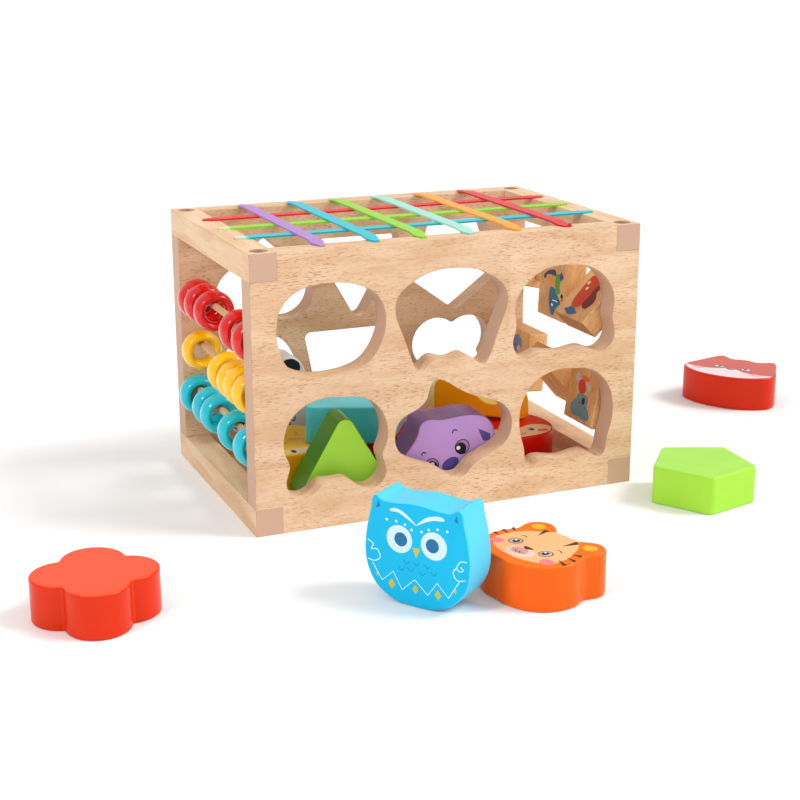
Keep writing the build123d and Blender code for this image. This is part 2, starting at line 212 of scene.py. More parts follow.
def board_tone(tree, along, boards):
    """A slightly different tone for each glued stave: boards is its width and its length."""
    width, length = boards
    parts = node(tree, "SeparateXYZ", {"Vector": along})
    row = maths(tree, "FLOOR", maths(tree, "DIVIDE", parts.outputs["Z"], width))
    slid = maths(tree, "ADD", parts.outputs["X"], maths(tree, "MULTIPLY", row, STAVE_SHIFT * length))
    column = maths(tree, "FLOOR", maths(tree, "DIVIDE", slid, length))
    pair = node(tree, "CombineXYZ", {"X": row, "Y": column, "Z": 0.0}).outputs["Vector"]
    tone = node(tree, "TexWhiteNoise", {"Vector": pair}, noise_dimensions="3D").outputs["Value"]
    return mix(tree, tone, DARK_STAVE, FULL_TONE)


def paint(name, face, side=None, facing=(0, 0, 1), roughness=0.3, coat=0.15, edge_paling=0.16, rim=FULL_TONE):
    """Sprayed gloss paint over wood, a little mottled, its edges made paler towards rim by the given amount
    unless that is nought.
    """
    material, tree, surface = shader(name)
    coords = node(tree, "TexCoord")
    colour = face
    if side:
        turned = vector_maths(tree, "DOT_PRODUCT", coords.outputs["Normal"], facing)
        colour = mix(tree, ramp(tree, maths(tree, "ABSOLUTE", turned), 0.55, 0.8), side, face)
    cloud = noise(tree, coords.outputs["Object"], scale=MOTTLE_SCALE, detail=2.0)
    tone = mix(tree, ramp(tree, cloud, 0.3, 0.7), DARK_MOTTLE, FULL_TONE)
    colour = mix(tree, 1.0, colour, tone, blend="MULTIPLY")
    # Edges turned paler towards rim by the given amount.
    if edge_paling:
        soft = soft_edges(tree, PAINT_EDGE)
        flat = node(tree, "NewGeometry")
        edge = vector_maths(tree, "DOT_PRODUCT", soft, flat.outputs["Normal"])
        colour = mix(tree, ramp(tree, edge, 0.995, 0.93, 0.0, edge_paling), colour, rim)
        tree.links.new(soft, surface.inputs["Normal"])
    tree.links.new(colour, surface.inputs["Base Color"])
    surface.inputs["Roughness"].default_value = roughness
    surface.inputs["Specular IOR Level"].default_value = PAINT_SPECULAR
    surface.inputs["Coat Weight"].default_value = coat
    surface.inputs["Coat Roughness"].default_value = PAINT_COAT_ROUGHNESS
    return material


def ink(name, colour, roughness=0.34):
    """Printed ink, with a faint dot screen."""
    material, tree, surface = shader(name)
    coords = node(tree, "TexCoord")
    screen = noise(tree, coords.outputs["Object"], scale=SCREEN_SCALE, detail=1.0)
    tone = mix(tree, ramp(tree, screen, 0.35, 0.65), shaded(colour, 0.93), shaded(colour, 1.05))
    tree.links.new(tone, surface.inputs["Base Color"])
    rough = ramp(tree, screen, 0.2, 0.8, roughness - 0.05, roughness + 0.05)
    tree.links.new(rough, surface.inputs["Roughness"])
    surface.inputs["Specular IOR Level"].default_value = INK_SPECULAR
    surface.inputs["Coat Weight"].default_value = INK_COAT
    surface.inputs["Coat Roughness"].default_value = INK_COAT_ROUGHNESS
    return material


def elastic(name, colour, along, pale_from=None):
    """Braided elastic: ribs and a fine knit, and paler left of pale_from, where it is stretched."""
    material, tree, surface = shader(name)
    coords = node(tree, "TexCoord")
    knit = node(tree, "TexWave", {"Vector": coords.outputs["Object"], "Scale": WAVE_PERIOD / RIB_SPACING,
                                  "Distortion": 1.2, "Detail": 1.0},
                wave_type="BANDS", bands_direction=along)
    fuzz = noise(tree, coords.outputs["Object"], scale=FUZZ_SCALE, detail=3.0)
    tone = mix(tree, ramp(tree, knit.outputs["Fac"], 0.1, 0.7), shaded(colour, 0.8), colour)
    tone = mix(tree, ramp(tree, fuzz, 0.45, 0.8, 0.0, 0.25), tone, shaded(colour, 1.25))
    if pale_from:
        left = node(tree, "SeparateXYZ", {"Vector": coords.outputs["Object"]}).outputs["X"]
        bare = ramp(tree, left, pale_from + PALE_BLUR, pale_from - PALE_BLUR, 0.0, 0.7)
        tone = mix(tree, bare, tone, BARE_ELASTIC)
    tree.links.new(tone, surface.inputs["Base Color"])
    relief = maths(tree, "ADD", knit.outputs["Fac"], maths(tree, "MULTIPLY", fuzz, 0.6))
    tree.links.new(bump(tree, relief, 0.35, BAND_RELIEF), surface.inputs["Normal"])
    surface.inputs["Roughness"].default_value = 0.75
    surface.inputs["Sheen Weight"].default_value = 0.25
    surface.inputs["Sheen Roughness"].default_value = 0.4
    return material


def shade_painted_steel(name):
    """Screw steel with turning marks, coloured dark brown as painted shade, so the heads stand in for the
    shaded depth of their counterbores.
    """
    material, tree, surface = shader(name)
    coords = node(tree, "TexCoord")
    marks = noise(tree, coords.outputs["Object"], scale=TURNING_SCALE, detail=3.0)
    # Dark browns: painted shade of the counterbores, laid on the screw heads.
    tree.links.new(mix(tree, marks, srgb(74, 52, 40), srgb(120, 92, 72)), surface.inputs["Base Color"])
    tree.links.new(ramp(tree, marks, 0.3, 0.7, 0.4, 0.6), surface.inputs["Roughness"])
    surface.inputs["Metallic"].default_value = 0.8
    return material


def dress(names, material):
    """Gives each named CAD node this material in every slot."""
    for name in names:
        mesh = NODES[name].data
        if not mesh.materials:
            mesh.materials.append(material)
        for index in range(len(mesh.materials)):
            mesh.materials[index] = material


BEECH = dict(pale=srgb(231, 198, 163), dark=srgb(218, 178, 140), fleck=srgb(170, 112, 72),
             end_colour=srgb(206, 168, 142))
DOWEL = dict(pale=srgb(226, 188, 142), dark=srgb(206, 160, 112), fleck=srgb(160, 112, 74),
             end_colour=srgb(196, 150, 110))
TILE_WOOD = dict(pale=srgb(240, 194, 136), dark=srgb(226, 170, 108), fleck=srgb(166, 108, 62),
                 end_colour=srgb(206, 154, 102))
QUIET_FLECKS = 0.3
# The glued staves' width and length.
STAVES = (62 * MM, 170 * MM)


def dress_box():
    """Panels, rails, floor, rods and screws."""
    for number, name in enumerate(("front_panel", "rear_panel")):
        dress([name], wood(name + "_beech", **BEECH, boards=STAVES, seed=number * 0.41))
    dress(["floor_panel"], wood("floor_beech", **BEECH, boards=STAVES, seed=1.3))
    for number, side in enumerate(("left_bottom", "left_top", "right_bottom", "right_top")):
        rail_wood = wood(side + "_beech", **BEECH, grain="y", fleck_amount=QUIET_FLECKS,
                         seed=2 + number * 0.37)
        dress([side + "_rail"], rail_wood)
    dowel = wood("dowel_wood", **DOWEL, grain="y", fleck_amount=QUIET_FLECKS, seed=5.1)
    dress([name for name in NODES if name.endswith("_rod")], dowel)
    # The screws carry the painted shade of their counterbores.
    dress(["corner_screws"], shade_painted_steel("screw_steel"))


BEAD_PAINTS = {"red": srgb(218, 2, 6), "yellow": srgb(255, 196, 0), "teal": srgb(0, 194, 214)}
BEADS_PER_COLOUR = 5


def dress_beads():
    """The abacus beads, in thick gloss."""
    for colour, value in BEAD_PAINTS.items():
        gloss = paint(colour + "_bead_paint", value, roughness=0.2, coat=0.9, edge_paling=0)
        dress([f"{colour}_bead_{number}" for number in range(1, BEADS_PER_COLOUR + 1)], gloss)


# ---------------------------------------------------------------- shapes on a face
ELLIPSE_STEPS = 40


def ellipse(centre, radius_x, radius_y, tilt=0.0, steps=ELLIPSE_STEPS):
    """The outline of an ellipse in a face's own millimetres."""
    lean = math.radians(tilt)
    points = []
    for step in range(steps):
        angle = 2 * math.pi * step / steps
        x, y = radius_x * math.cos(angle), radius_y * math.sin(angle)
        points.append((centre[0] + x * math.cos(lean) - y * math.sin(lean),
                       centre[1] + x * math.sin(lean) + y * math.cos(lean)))
    return points


def through(points, closed=True, steps=6):
    """A smooth curve through the points."""
    count = len(points)
    spans = count if closed else count - 1
    curve = []
    for index in range(spans):
        if closed:
            p = [Vector(points[(index + offset) % count]) for offset in (-1, 0, 1, 2)]
        else:
            p = [Vector(points[min(max(index + offset, 0), count - 1)]) for offset in (-1, 0, 1, 2)]
        for step in range(steps):
            t = step / steps
            curve.append(0.5 * (2 * p[1] + (p[2] - p[0]) * t + (2 * p[0] - 5 * p[1] + 4 * p[2] - p[3]) * t * t
                                + (3 * p[1] - p[0] - 3 * p[2] + p[3]) * t ** 3))
    if not closed:
        curve.append(Vector(points[-1]))
    return [tuple(point) for point in curve]


def stroke(points, width, smooth=True):
    """A pen line along the points, as a list of short four-sided outlines."""
    line = [Vector(p) for p in (through(points, closed=False) if smooth else points)]
    sides = []
    for index, point in enumerate(line):
        before = line[max(index - 1, 0)]
        after = line[min(index + 1, len(line) - 1)]
        ahead = (after - before).normalized()
        across = Vector((-ahead.y, ahead.x)) * width / 2
        sides.append((point + across, point - across))
    return [(a, b, c, d) for (a, b), (d, c) in zip(sides, sides[1:])]


def mirror(points):
    """The same outline on the face's other side."""
    return [(-x, y) for x, y in reversed(points)]


# Ink plates, in millimetres: where their backs lie inside the face, the least that their fronts stand out
# of it, and how much each layer adds.
INK_ROOT = -0.03
INK_STAND = 0.02
INK_STEP = 0.025


class Face:
    """A flat face of a block or tile: its middle, its right and up directions and its outward normal."""

    def __init__(self, body, centre, right, normal, thickness):
        self.body = body
        self.right = Vector(right).normalized()
        self.normal = Vector(normal).normalized()
        self.up = self.normal.cross(self.right)
        self.middle = (Vector(centre) + self.normal * thickness / 2) * MM

    def point(self, x, y, height):
        """A place on the face, this far right, up and outwards, in millimetres."""
        return self.middle + (self.right * x + self.up * y + self.normal * height) * MM

    def prints(self, name, material, slot, outlines, layer=1):
        """Thin closed plates of ink that stand a little out of the face."""
        mesh = bmesh.new()
        top, bottom = INK_STAND + INK_STEP * layer, INK_ROOT
        for outline in outlines:
            corners = [mesh.verts.new(self.point(x, y, bottom)) for x, y in outline]
            base = mesh.faces.new(corners)
            base.normal_update()
            if base.normal.dot(self.normal) > 0:
                base.normal_flip()
            raised = bmesh.ops.extrude_face_region(mesh, geom=[base])
            lifted = [item for item in raised["geom"] if isinstance(item, bmesh.types.BMVert)]
            bmesh.ops.translate(mesh, verts=lifted, vec=self.normal * (top - bottom) * MM)
        bmesh.ops.triangulate(mesh, faces=[f for f in mesh.faces if len(f.verts) > 4])
        bmesh.ops.recalc_face_normals(mesh, faces=mesh.faces)
        piece(f"{self.body}_{name}", mesh, material, self.body)


def piece(name, mesh, material, body):
    """A finished mesh as a piece that rides on a body."""
    data = bpy.data.meshes.new(name)
    mesh.to_mesh(data)
    mesh.free()
    data.materials.append(material)
    made = bpy.data.objects.new(name, data)
    bpy.context.scene.collection.objects.link(made)
    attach(made, body)


def heading(degrees, climb=0.0):
    """A direction at this angle from +X, climbing at the second angle."""
    level = math.cos(math.radians(climb))
    return (math.cos(math.radians(degrees)) * level, math.sin(math.radians(degrees)) * level,
            math.sin(math.radians(climb)))


UP = (0, 0, 1)


# ---------------------------------------------------------------- box, beads and bands
dress_box()
dress_beads()

BAND_COLOURS = {"purple": srgb(176, 124, 198), "teal": srgb(20, 190, 202), "lime": srgb(146, 212, 30),
                "mint": srgb(160, 224, 208), "orange": srgb(248, 164, 30), "red": srgb(222, 20, 24)}
# Left of here the lime and teal long bands are stretched thin and look pale.
PALE_END = -134 * MM
for band_name in [name for name in NODES if name.endswith("_band")]:
    band_colour = next(colour for colour in BAND_COLOURS if colour in band_name)
    runs = "X" if "cross" in band_name else "Y"
    stretched = PALE_END if runs == "Y" and band_colour != "red" else None
    dress([band_name], elastic(band_name + "_elastic", BAND_COLOURS[band_colour], runs, stretched))

# A small knot at the front end of the red cross band.
KNOT_PLACE = Vector((95.5, -91.6, 201.0)) * MM
KNOT_RADIUS = 1.7 * MM
knot = bmesh.new()
bmesh.ops.create_uvsphere(knot, u_segments=24, v_segments=14, radius=KNOT_RADIUS)
for vertex in knot.verts:
    vertex.co *= 1 + random.uniform(-0.05, 0.05)
    vertex.co += KNOT_PLACE
for face in knot.faces:
    face.smooth = True
piece("red_band_knot", knot, elastic("red_knot_elastic", BAND_COLOURS["red"], "Z"), "box")

# The front end of the purple cross band is frayed.
FIBRES = 7
FIBRE_PITCH = 0.42
FIBRE_LENGTH = 3.2 * MM
tuft = bmesh.new()
for fibre in range(FIBRES):
    strand = bmesh.ops.create_cone(tuft, cap_ends=True, segments=8, radius1=0.28 * MM, radius2=0.1 * MM,
                                   depth=FIBRE_LENGTH)
    lean = Matrix.Rotation(math.radians(90 + random.uniform(-12, 12)), 4, "X")
    splay = Matrix.Rotation(math.radians(random.uniform(-24, 24)), 4, "Z")
    across = FIBRE_PITCH * (fibre - FIBRES // 2)
    place = Matrix.Translation(Vector((-95.5 + across, -92.0, 200.9)) * MM)
    bmesh.ops.transform(tuft, matrix=place @ splay @ lean, verts=strand["verts"])
piece("purple_band_tuft", tuft, elastic("frayed_elastic", srgb(236, 230, 236), "Y"), "box")

# ---------------------------------------------------------------- tiles
# In millimetres and degrees: thickness, height of each rod, place along it, and each tile's turn at rest.
TILE_THICKNESS = 18.0
TILE_ROD_X = 140.0
TILE_ROWS = {"lower": 61.0, "upper": 134.0}
TILE_PLACES = {"front": -56.0, "middle": -3.0, "rear": 59.5}
TILE_TURNS = {"lower_front": 9.0, "lower_middle": 140.0, "lower_rear": 4.5,
              "upper_front": 46.0, "upper_middle": 3.0, "upper_rear": 103.0}
TILES = {}
for number, (tile, turn) in enumerate(TILE_TURNS.items()):
    level, place = tile.split("_")
    middle = (TILE_ROD_X, TILE_PLACES[place], TILE_ROWS[level])
    dress([tile + "_tile"],
          wood(tile + "_tile_wood", **TILE_WOOD, grain="z", centre=[part * MM for part in middle], turn=turn,
               seed=number * 0.61))
    lean = math.radians(turn)
    TILES[tile] = Face(tile + "_tile", middle, (0, -1, 0), (-math.cos(lean), 0, math.sin(lean)),
                       TILE_THICKNESS)

# ---------------------------------------------------------------- blocks
# Each block's middle in millimetres, its printed face's right and outward directions, and its thickness.
FACES = {
    "flower": ((-279.8, -183.4, 14.6), heading(-8.2), UP, 29.2),
    "pentagon": ((180.0, -151.0, 14.3), heading(32), UP, 28.6),
    "tiger": ((-12.3, -255.4, 14.9), heading(-75.5), UP, 29.8),
    "fox": ((353.5, 58.5, 14.6), heading(-57), UP, 29.2),
    "owl": ((-83.7, -243.6, 34.72), heading(-53.6), heading(216.4), 28.6),
    "triangle": ((-72.0, -59.0, 29.6), heading(-4), heading(-94), 29.0),
    "elephant": ((7.5, -64.0, 33.6), heading(-4, 28), heading(-94), 29.0),
    "giraffe": ((-90.0, -1.0, 20.7), heading(90), UP, 29.0),
    "heart": ((-19.0, -12.0, 20.7), heading(0), UP, 29.0),
    "trapezoid": ((-35.6, -1.9, 49.9), heading(56.3), UP, 29.0),
    "panda": ((-80.0, 66.0, 41.6), heading(0, 40), heading(-90), 29.0),
    "monkey": ((76.5, -32.0, 20.7), heading(0), UP, 29.0),
    "cloud": ((65.5, -5.5, 55.0), heading(-14), heading(-104), 29.0),
}
# The colour of each block's face and of its sides.
BLOCK_PAINTS = {
    "flower": (srgb(230, 76, 34), srgb(216, 46, 0)),
    "pentagon": (srgb(164, 224, 72), srgb(168, 226, 66)),
    "tiger": (srgb(255, 112, 14), srgb(254, 98, 0)),
    "fox": (srgb(206, 84, 66), srgb(214, 42, 0)),
    "owl": (srgb(8, 184, 230), srgb(80, 204, 242)),
    "triangle": (srgb(186, 255, 84), srgb(86, 154, 22)),
    "elephant": (srgb(206, 164, 236), srgb(150, 108, 170)),
    "giraffe": (srgb(255, 196, 30), srgb(232, 168, 6)),
    "heart": (srgb(228, 20, 14), srgb(210, 12, 6)),
    "trapezoid": (srgb(112, 230, 244), srgb(84, 206, 222)),
    "panda": (srgb(222, 222, 216), srgb(232, 232, 228)),
    "monkey": (srgb(232, 26, 10), srgb(216, 14, 4)),
    "cloud": (srgb(255, 166, 0), srgb(250, 222, 120)),
}
# The owl's edges are made much paler than the others'.
OWL_PALE_EDGES = dict(edge_paling=0.75, rim=srgb(120, 220, 250))
PRINTED = {}
for block, (centre, right, normal, thickness) in FACES.items():
    face_paint, side_paint = BLOCK_PAINTS[block]
    edge_paling = OWL_PALE_EDGES if block == "owl" else {}
    dress([block + "_block"], paint(block + "_gloss_paint", face_paint, side_paint, facing=normal, **edge_paling))
    PRINTED[block] = Face(block + "_block", centre, right, normal, thickness)

INKS = {}
# The material slot in the record named for each block's prints, handed on with them.
SLOTS = {"owl": "blue_paint", "tiger": "orange_paint", "fox": "coral_paint", "elephant": "purple_paint",
         "giraffe": "yellow_paint", "monkey": "red_paint", "panda": "grey_paint"}


def inked(colour):
    """The ink of this colour, made once."""
    if colour not in INKS:
        INKS[colour] = ink("ink_%d_%d_%d" % colour, srgb(*colour))
    return INKS[colour]


def draw(where, name, colour, outlines, layer=1):
    """Prints the outlines on a block's or a tile's face."""
    face = PRINTED[where] if where in PRINTED else TILES[where]
    face.prints(name, inked(colour), SLOTS.get(where, "tile_wood"), outlines, layer)


def both(outlines):
    """The outlines and their mirror images."""
    return list(outlines) + [mirror(outline) for outline in outlines]


def spots(centres, radius_x, radius_y, steps=ELLIPSE_STEPS):
    """Equal ellipses at these centres."""
    return [ellipse(centre, radius_x, radius_y, steps=steps) for centre in centres]


def strokes(lines, width, smooth=True):
    """Pen lines along each list of points."""
    return [quad for line in lines for quad in stroke(line, width, smooth)]


# Ink colours, 0 to 255 a channel. Outlines are in millimetres from the middle of the face, right and up.
WHITE = (240, 250, 252)
BLACK = (22, 18, 26)

# Owl
OWL_TEAL = (18, 120, 170)
OWL_PALE = (206, 232, 236)
OWL_DEEP = (20, 108, 158)
OWL_FEATHER = (30, 106, 150)
MUSTARD = (206, 186, 50)
OWL_LINE = 0.45
draw("owl", "ears", OWL_TEAL, [
    [(-29, 26.5), (-25.5, 28), (-27.2, 32)],
    [(26.5, 28), (29.5, 26.8), (28, 32)]])
draw("owl", "brows", OWL_PALE, [
    through([(0, 20), (-5, 24.5), (-10, 27.6), (-15, 28.8), (-18.5, 27.6), (-18, 26.2), (-13, 26.3),
             (-7, 23.6)]),
    through([(0, 20), (6, 23.2), (12, 25.5), (19, 26.5), (19.3, 28), (16, 28.8), (10, 27.7), (5, 25)])])
draw("owl", "dots", WHITE, spots([
    (-21, 20.3), (-14.3, 20.3), (-8, 19.2), (-3.3, 16.6), (3.8, 16.6), (8.8, 19), (15, 20.3), (21.7, 20.3)],
    0.8, 0.8, steps=16))
draw("owl", "eye_discs", OWL_PALE, spots([(-12, 8.9), (12.5, 8.9)], 9.1, 9.1))
draw("owl", "pupils", OWL_DEEP, spots([(-11, 8.9), (11.4, 8.9)], 4.6, 4.6), layer=2)
draw("owl", "beak", MUSTARD, [[(-2.7, 5), (0, -1.2), (2.8, 5.2)]])
draw("owl", "feathers", OWL_FEATHER, strokes([
    [(x - 2.2, y + 1.2), (x, y - 1.3), (x + 2.2, y + 1.2)] for x, y in (
        (-7, -5.5), (0, -5.5), (8, -5.5), (-10.5, -10.5), (-4, -10), (4.5, -11), (12.5, -9.5))],
    OWL_LINE, smooth=False))
draw("owl", "zigzag", WHITE, stroke([
    (-31.5, -10.5), (-24.5, -21), (-16.5, -13.5), (-10, -24.5), (-1, -16), (8.3, -24.3), (15, -15),
    (23, -23), (30.5, -10.5)], OWL_LINE, smooth=False))
draw("owl", "curls", WHITE, strokes([
    [(-35, 4.5), (-31, 2), (-32.5, -1.5), (-28, -1), (-26, -6), (-30, -9), (-35, -8.5)],
    [(35.5, 3), (31, 2.5), (28.5, -2), (31, -4), (33, -2.5), (31, -1)],
    [(28, -2), (26, -6), (29, -10), (34.5, -9)]], OWL_LINE))
draw("owl", "diamonds", MUSTARD, [
    [(x - half_width, y), (x, y - half_height), (x + half_width, y), (x, y + half_height)]
    for x, y, half_width, half_height in (
        (-17.5, -22, 2.4, 3.6), (-0.5, -22.3, 2, 3), (15.5, -22.7, 2.2, 3.4), (-28, -17.5, 1, 1.6),
        (27.6, -17.5, 1, 1.6))])

# Tiger
TIGER_PEACH = (255, 184, 128)
TIGER_GOLD = (255, 172, 44)
TIGER_BROWN = (74, 44, 26)
TIGER_RIM = (120, 92, 84)
TIGER_IRIS = (196, 176, 166)
TIGER_PUPIL = (40, 28, 26)
TIGER_MUZZLE = (236, 200, 188)
TIGER_CHIN = (208, 154, 142)
TIGER_CHEEK = (255, 128, 134)
draw("tiger", "face", TIGER_PEACH, [through([
    (-10, 25), (0, 24.4), (11, 25), (19, 17), (24, 8), (27.5, 0), (28, -8), (28, -12), (20, -20), (8, -24),
    (0, -24.5), (-10, -23.5), (-20, -20), (-28, -13), (-29, -5), (-27, 5), (-20, 15), (-12, 22)])])
draw("tiger", "inner_ears", TIGER_GOLD, spots([(-24.5, 23), (23.5, 23)], 5, 4.5))
draw("tiger", "stripes", TIGER_BROWN, [
    [(-18, 22), (-12.5, 11), (-14, 23)],
    [(10, 24), (10.5, 11), (15, 22.5)],
    [(-34, 10), (-26.5, 5.5), (-33, 6.5)],
    [(-35, 2.5), (-26, -0.5), (-35, -0.5)],
    [(-35.3, -5), (-28, -7.5), (-35, -8)],
    [(29, 11), (24, 6.5), (31.5, 7.5)],
    [(33, 2.2), (25, 0.5), (34.3, -1)],
    [(34.8, -7), (25, -6), (34.2, -10.5)]], layer=2)
draw("tiger", "brows", TIGER_BROWN, strokes([
    [(-20, 3.6), (-17.5, 4.8), (-15, 4)],
    [(13.5, 4.6), (16, 4.8), (18.5, 3)]], 0.8), layer=2)
draw("tiger", "eye_whites", TIGER_RIM, spots([(-15, -5.5), (13.5, -5.5)], 5, 5), layer=2)
draw("tiger", "irises", TIGER_IRIS, spots([(-15, -5.5), (13.5, -5.5)], 4.1, 4.1), layer=3)
draw("tiger", "pupils", TIGER_PUPIL, spots([(-14.4, -5.5), (12.9, -5.5)], 2.2, 2.8), layer=4)
draw("tiger", "glints", WHITE, spots([(-15.6, -4.4), (11.9, -4.4)], 0.9, 0.9, steps=16), layer=5)
draw("tiger", "muzzle", TIGER_MUZZLE, [through([
    (-10, -11), (-4, -9), (4, -9), (10, -11), (11, -17), (6, -22.5), (0, -23.6), (-6, -22.5), (-11, -17)])],
    layer=2)
draw("tiger", "chin", TIGER_CHIN, [ellipse((-1, -14.5), 6.5, 4.5)], layer=3)
draw("tiger", "nose", TIGER_BROWN, [through([
    (-4.5, -6.8), (0, -6.2), (3.5, -6.8), (0.5, -10), (-2.5, -9.6)])], layer=3)
draw("tiger", "mouth", TIGER_BROWN, stroke([
    (-4, -15.5), (-1.5, -17.3), (0, -15.5), (2, -17.3), (4.5, -15.8)], 0.6), layer=4)
draw("tiger", "cheeks", TIGER_CHEEK, [ellipse((23.5, -14.2), 5, 4.4), ellipse((-23.6, -14.2), 4.8, 4.2)],
     layer=2)

# Fox
FOX_PALE = (240, 214, 218)
FOX_BLUSH = (238, 168, 176)
FOX_RIM = (96, 80, 82)
FOX_EYE = (232, 228, 224)
FOX_PUPIL = (70, 66, 68)
FOX_NOSE = (112, 100, 102)
FOX_EAR = (214, 72, 58)
draw("fox", "muzzle", FOX_PALE, [through([
    (0, -5.5), (7, -8), (14, -12.5), (24, -14.5), (34, -13.5), (40, -11.5), (38.3, -17.5), (30, -25.2),
    (18, -31.2), (0, -33.6), (-18, -31.2), (-30, -25.2), (-38.3, -17.5), (-40, -11.5), (-34, -13.5),
    (-24, -14.5), (-14, -12.5), (-7, -8)])])
draw("fox", "blush", FOX_BLUSH, spots([(27, -16.5), (-27, -16.5)], 5.5, 3.4), layer=2)
draw("fox", "eyes", FOX_RIM, spots([(12.8, -3), (-12.8, -3)], 5.2, 3.8))
draw("fox", "eye_whites", FOX_EYE, spots([(12.8, -3), (-12.8, -3)], 4.2, 2.8), layer=2)
draw("fox", "pupils", FOX_PUPIL, spots([(12.2, -2.6), (-12.2, -2.6)], 1.7, 2.3), layer=3)
draw("fox", "nose", FOX_NOSE, [through([
    (-4.4, -6.6), (0, -5.8), (4.4, -6.6), (2, -9.6), (0, -10.4), (-2, -9.6)])], layer=2)
draw("fox", "inner_ears", FOX_EAR, [
    through([(20, 24), (27, 25), (25.5, 32), (22, 31)]),
    through([(-20, 24), (-22, 31), (-25.5, 32), (-27, 25)])])

# Elephant
ELEPHANT_LILAC = (180, 138, 204)
ELEPHANT_TRUNK = (88, 78, 154)
ELEPHANT_SHADE = (92, 80, 150)
draw("elephant", "eye_rings", BLACK, [ellipse((12, -0.5), 5.9, 5.9), ellipse((-15, 0), 5.8, 5.8)])
draw("elephant", "eye_fields", ELEPHANT_LILAC, [ellipse((12, -0.5), 5.2, 5.2), ellipse((-15, 0), 5.1, 5.1)],
     layer=2)
draw("elephant", "pupils", BLACK, [ellipse((10.5, -1), 4.2, 4.8), ellipse((-15, -1), 4.2, 4.6)], layer=3)
draw("elephant", "glints", WHITE, spots([(9, 0.4), (-14, 0.6)], 1.6, 1.6, steps=20), layer=4)
draw("elephant", "brows", BLACK, strokes([
    [(10, 13.2), (12.5, 14.8), (14.5, 12.9)],
    [(-18, 11.4), (-16, 12.9), (-14, 10.9)]], 0.9))
draw("elephant", "trunk", ELEPHANT_TRUNK, [ellipse((-2, -7), 7, 4.5)], layer=3)
draw("elephant", "ear_shade", ELEPHANT_SHADE, [[(29, 5), (28, -6), (33, -8), (35.5, -4)]])

# Monkey
MONKEY_TAN = (240, 206, 168)
MONKEY_CHEEK = (232, 96, 88)
MONKEY_SMILE = (120, 50, 36)
draw("monkey", "face", MONKEY_TAN, [through([
    (0, -15), (8, -12), (16, -8.5), (24, -9.5), (29.5, -15), (29.5, -21.5), (24, -28), (15, -32), (0, -33.8),
    (-15, -32), (-24, -28), (-29.5, -21.5), (-29.5, -15), (-24, -9.5), (-16, -8.5), (-8, -12)])])
draw("monkey", "eyes", BLACK, spots([(13, -19), (-13, -19)], 2.6, 3.6), layer=2)
draw("monkey", "glints", WHITE, spots([(12.2, -17.6), (-13.8, -17.6)], 0.9, 0.9, steps=16), layer=3)
draw("monkey", "cheeks", MONKEY_CHEEK, spots([(20.5, -24.5), (-20.5, -24.5)], 4.6, 3.4), layer=2)
draw("monkey", "smile", MONKEY_SMILE, stroke([(-5, -26), (0, -28.2), (5, -26)], 0.9), layer=2)

# Giraffe
GIRAFFE_CREAM = (242, 218, 170)
GIRAFFE_ORANGE = (232, 132, 30)
draw("giraffe", "muzzle", GIRAFFE_CREAM, [through([
    (-26, 20), (-24, 8), (-23.5, 0), (-24, -8), (-26, -20), (-31, -18), (-34.5, -10), (-35.5, 0),
    (-34.5, 11), (-31, 18)])])
draw("giraffe", "eyes", BLACK, spots([(-29.5, 8), (-29.5, -8)], 3.4, 2), layer=2)
draw("giraffe", "patches", GIRAFFE_ORANGE, strokes([
    [(-3, -10), (-1.5, -4), (1, 2)],
    [(-10, 6), (-5, 9), (0, 8)],
    [(6, -12), (10, -8), (15, -9)]], 1.6))

# Panda
draw("panda", "eye_patches", BLACK, [ellipse((12, 3), 5.5, 7, 20), ellipse((-12, 3), 5.5, 7, -20)])
draw("panda", "eyes", WHITE, spots([(11, 4), (-11, 4)], 1.6, 1.6, steps=20), layer=2)
draw("panda", "nose", BLACK, [ellipse((0, -6), 3.2, 2.2)])
draw("panda", "mouth", BLACK, stroke([(-5, -12), (-2.5, -14), (0, -11), (2.5, -14), (5, -12)], 0.9))
draw("panda", "ears", BLACK, both([through([
    (19, 21), (25, 15), (33, 14), (36.4, 19), (34, 26), (26.5, 29.6), (20, 27)])]))

# Upper middle tile: a lizard
LIZARD_BLUE = (28, 112, 150)
LIZARD_GREEN = (86, 156, 46)
LIZARD_NAVY = (30, 42, 92)
LIZARD_GOLD = (236, 164, 34)
LIZARD_GEM = (28, 52, 128)
LIZARD_RED = (206, 42, 36)
draw("upper_middle", "body", LIZARD_BLUE, [through([
    (-3, -1), (4, 0), (10, -5), (15, -10), (9, -15), (4, -22), (0, -20), (-3, -15), (-4, -8)])])
draw("upper_middle", "belly", LIZARD_GREEN, [through([
    (5, 11), (11, 12), (13, 7), (12, 2), (14, -1), (10, -4), (6, -3), (5, 3)])], layer=2)
draw("upper_middle", "back", LIZARD_NAVY, [through([
    (-14, 8), (-8, 12), (0, 14.5), (4, 14), (5, 10), (-2, 10), (-9, 9), (-11, 6), (-13.5, 5)])])
draw("upper_middle", "curl", LIZARD_GOLD, [through([
    (-7, 6), (0, 8.5), (3, 5), (2, 0.6), (0, 2), (-3, 4)])], layer=2)
draw("upper_middle", "gem", LIZARD_GEM, [[(10, 11), (13.7, 7), (17.5, 11), (13.7, 14.7)]], layer=3)
draw("upper_middle", "eye", BLACK, [ellipse((16.5, -4.2), 2.2, 1.7)])
draw("upper_middle", "tongue", LIZARD_RED, [[(15.2, -6.4), (17, -8.8), (18.6, -6.2)]])
draw("upper_middle", "teeth", WHITE, stroke([(2, -10), (6, -9.6), (10, -9.8)], 0.9) + [
    ellipse((2, -13.7), 1.6, 1.1)], layer=2)

